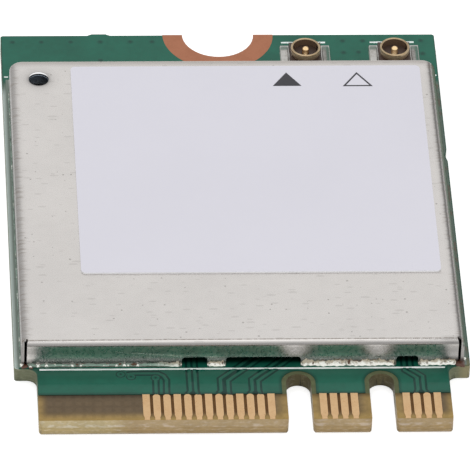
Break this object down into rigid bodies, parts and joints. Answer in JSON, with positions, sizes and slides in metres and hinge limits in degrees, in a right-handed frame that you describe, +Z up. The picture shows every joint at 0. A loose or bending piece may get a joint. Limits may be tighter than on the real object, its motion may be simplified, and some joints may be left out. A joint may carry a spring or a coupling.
{
  "type": "ngff wifi card",
  "caption": "Thin wireless network card with a notched edge connector, a folded metal shield can, a half-round screw notch and coaxial antenna sockets.",
  "frame": {"origin": "centre of the card's outline, at the board's underside", "axes": "+X along the contact row, +Y from the contact tongue to the screw notch, +Z up from the board through the shield can"},
  "size_m": [0.022, 0.0302, 0.0022],
  "materials": {
    "laminate": "bare glass-fibre board, satin",
    "solder_mask": "green lacquer, semi-gloss",
    "contact_gold": "gold plating, satin",
    "land_copper": "bare copper, slightly tarnished",
    "tinned_copper": "tinned copper, satin",
    "shield_tin": "tinned sheet, satin on top",
    "solder": "bright solder",
    "label_film": "smooth white film",
    "socket_insulator": "moulded polymer, matte",
    "socket_gold": "gold plating, bright",
    "package_epoxy": "black moulding compound",
    "crystal_metal": "plated lid on a ceramic base",
    "coil_ferrite": "pressed ferrite",
    "pale_ceramic": "fired ceramic",
    "capacitor_ceramic": "fired ceramic with tinned ends",
    "resistor_film": "glazed film with tinned ends"
  },
  "bodies": {
    "root": {"circuit_board": "laminate", "solder_mask_top": "solder_mask", "solder_mask_bottom": "solder_mask", "contacts_top": "contact_gold", "contacts_bottom": "contact_gold", "screw_land_top": "land_copper", "screw_land_bottom": "land_copper", "shield_track": "tinned_copper", "antenna_lands": "tinned_copper", "shield_can": "shield_tin", "shield_solder": "solder", "label": "label_film", "antenna_socket_main_housing": "socket_insulator", "antenna_socket_aux_housing": "socket_insulator", "antenna_socket_main_shell": "socket_gold", "antenna_socket_main_probe": "socket_gold", "antenna_socket_aux_shell": "socket_gold", "antenna_socket_aux_probe": "socket_gold", "radio_chip": "package_epoxy", "settings_memory": "package_epoxy", "front_end_main": "package_epoxy", "front_end_aux": "package_epoxy", "reference_crystal": "crystal_metal", "power_inductor": "coil_ferrite", "band_filter_main": "pale_ceramic", "band_filter_aux": "pale_ceramic", "bypass_capacitors": "capacitor_ceramic", "line_resistors": "resistor_film"}
  },
  "joints": []
}
